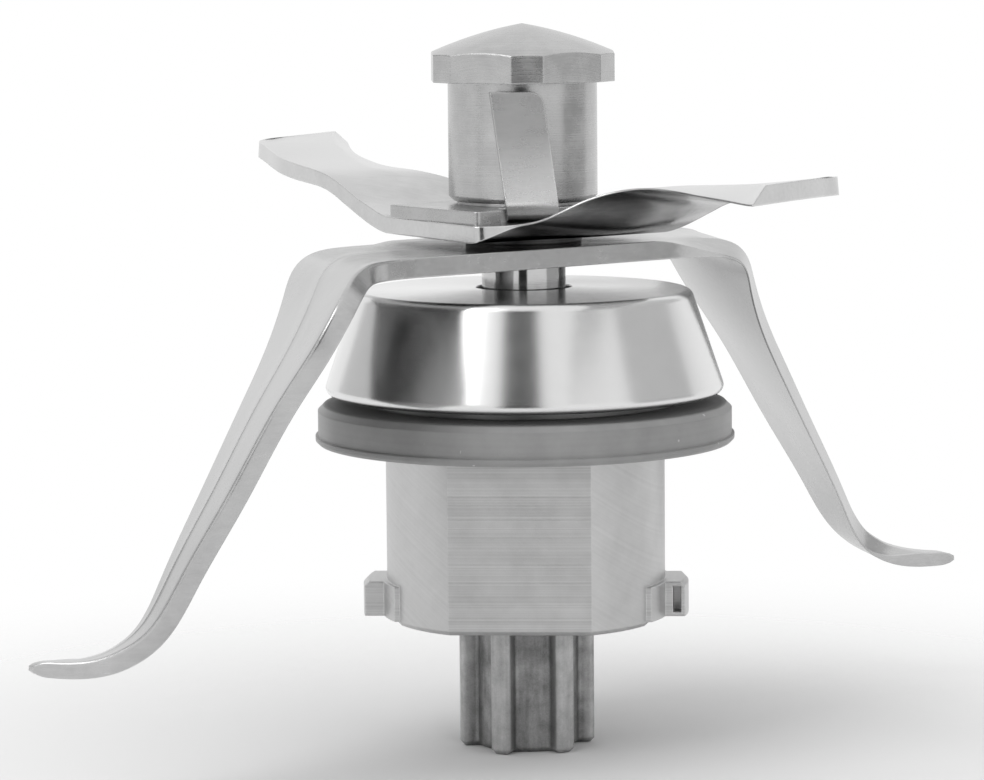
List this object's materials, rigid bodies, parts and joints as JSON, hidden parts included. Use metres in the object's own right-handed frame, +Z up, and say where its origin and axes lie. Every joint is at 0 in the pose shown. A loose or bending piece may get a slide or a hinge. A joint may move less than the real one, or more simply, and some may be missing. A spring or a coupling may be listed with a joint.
{
  "type": "blender blade assembly",
  "caption": "Blender blade assembly: bent upper and lower blades on a shaft that spins in a bayonet bearing housing with a polished bell, seal ring and star drive coupling.",
  "frame": {"origin": "on the shaft axis at the drive coupling's lower end", "axes": "+Z up along the shaft from the coupling to the cap nut, X towards one bayonet lug, -Y towards the viewer of the picture"},
  "size_m": [0.0852, 0.0982, 0.0689],
  "materials": {
    "housing_steel": "milled and turned, satin",
    "bell_steel": "polished stainless steel",
    "seal_rubber": "matte grey",
    "lip_rubber": "matte black",
    "bearing_steel": "ground",
    "shield_steel": "pressed sheet",
    "sleeve_steel": "turned",
    "clip_steel": "dark spring steel",
    "shaft_steel": "ground and polished",
    "coupling_steel": "sintered, mottled grey",
    "lower_blade_steel": "satin stainless steel",
    "washer_steel": "punched sheet",
    "upper_blade_steel": "satin stainless steel",
    "plate_steel": "bent sheet, sheared edges",
    "nut_steel": "turned, satin",
    "cage_steel": "satin",
    "ball_steel": "polished"
  },
  "bodies": {
    "housing": {"bearing_housing": "housing_steel", "bell_cover": "bell_steel", "seal_ring": "seal_rubber", "shaft_lip_seal": "lip_rubber", "upper_bearing_outer_ring": "bearing_steel", "upper_bearing_shield": "shield_steel", "lower_bearing_outer_ring": "bearing_steel", "lower_bearing_shield": "shield_steel", "outer_spacer_sleeve": "sleeve_steel", "bore_retaining_ring": "clip_steel"},
    "rotor": {"drive_shaft": "shaft_steel", "upper_bearing_inner_ring": "bearing_steel", "lower_bearing_inner_ring": "bearing_steel", "inner_spacer_sleeve": "sleeve_steel", "upper_shaft_ring": "clip_steel", "lower_shaft_ring": "clip_steel", "drive_coupling": "coupling_steel", "lower_blade": "lower_blade_steel", "blade_spacer": "washer_steel", "upper_blade": "upper_blade_steel", "lock_plate": "plate_steel", "cap_nut": "nut_steel"},
    "upper_cage": {"upper_bearing_cage": "cage_steel", "upper_bearing_balls": "ball_steel"},
    "lower_cage": {"lower_bearing_cage": "cage_steel", "lower_bearing_balls": "ball_steel"}
  },
  "joints": [
    {"name": "rotor_spin", "type": "hinge", "parent": "housing", "child": "rotor", "pos_m": [0, 0, 0.0255], "axis": [0, 0, 1], "continuous": true},
    {"name": "upper_cage_spin", "type": "hinge", "parent": "housing", "child": "upper_cage", "pos_m": [0, 0, 0.0335], "axis": [0, 0, 1], "continuous": true},
    {"name": "lower_cage_spin", "type": "hinge", "parent": "housing", "child": "lower_cage", "pos_m": [0, 0, 0.0176], "axis": [0, 0, 1], "continuous": true}
  ],
  "couplings": [
    {"joint": "upper_cage_spin", "follows": "rotor_spin", "ratio": 0.38889},
    {"joint": "lower_cage_spin", "follows": "rotor_spin", "ratio": 0.38889}
  ]
}
